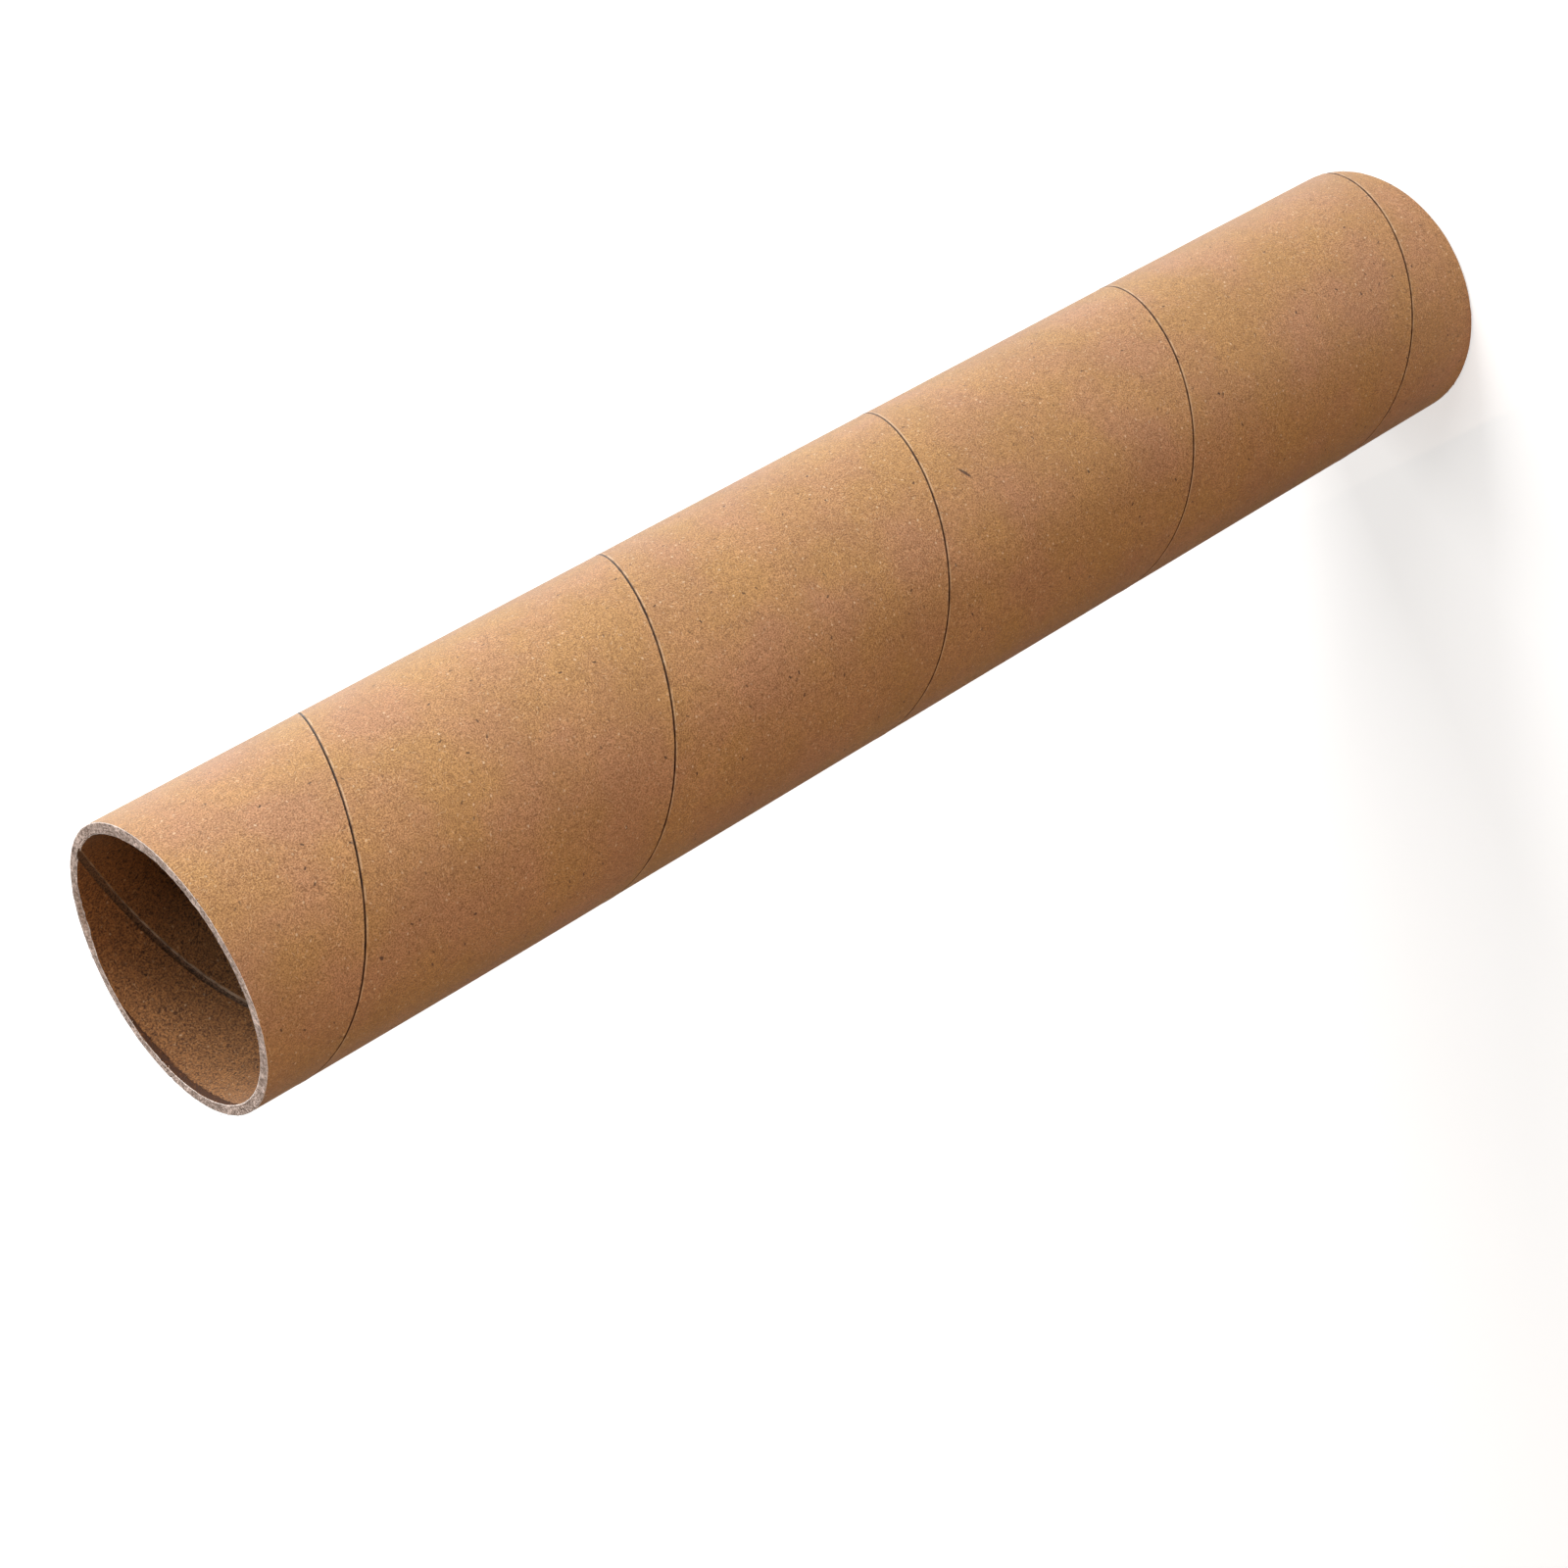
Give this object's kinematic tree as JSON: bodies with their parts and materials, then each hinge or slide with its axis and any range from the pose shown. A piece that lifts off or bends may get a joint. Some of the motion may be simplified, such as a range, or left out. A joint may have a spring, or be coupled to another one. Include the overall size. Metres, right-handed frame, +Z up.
{
  "type": "cardboard mailing tube",
  "caption": "Plain spiral-wound kraft board tube, open at both ends, for posting rolled papers; takes push-in end plugs.",
  "frame": {"origin": "centre of the lower sawn end, where the tube stands", "axes": "+Z up along the tube's axis; +X is the side where the outer joint crosses 63.8 mm above the base"},
  "size_m": [0.0538, 0.0538, 0.3048],
  "materials": {
    "kraft_board": "matte uncoated kraft board"
  },
  "bodies": {
    "root": {"tube": "kraft_board"}
  },
  "joints": []
}
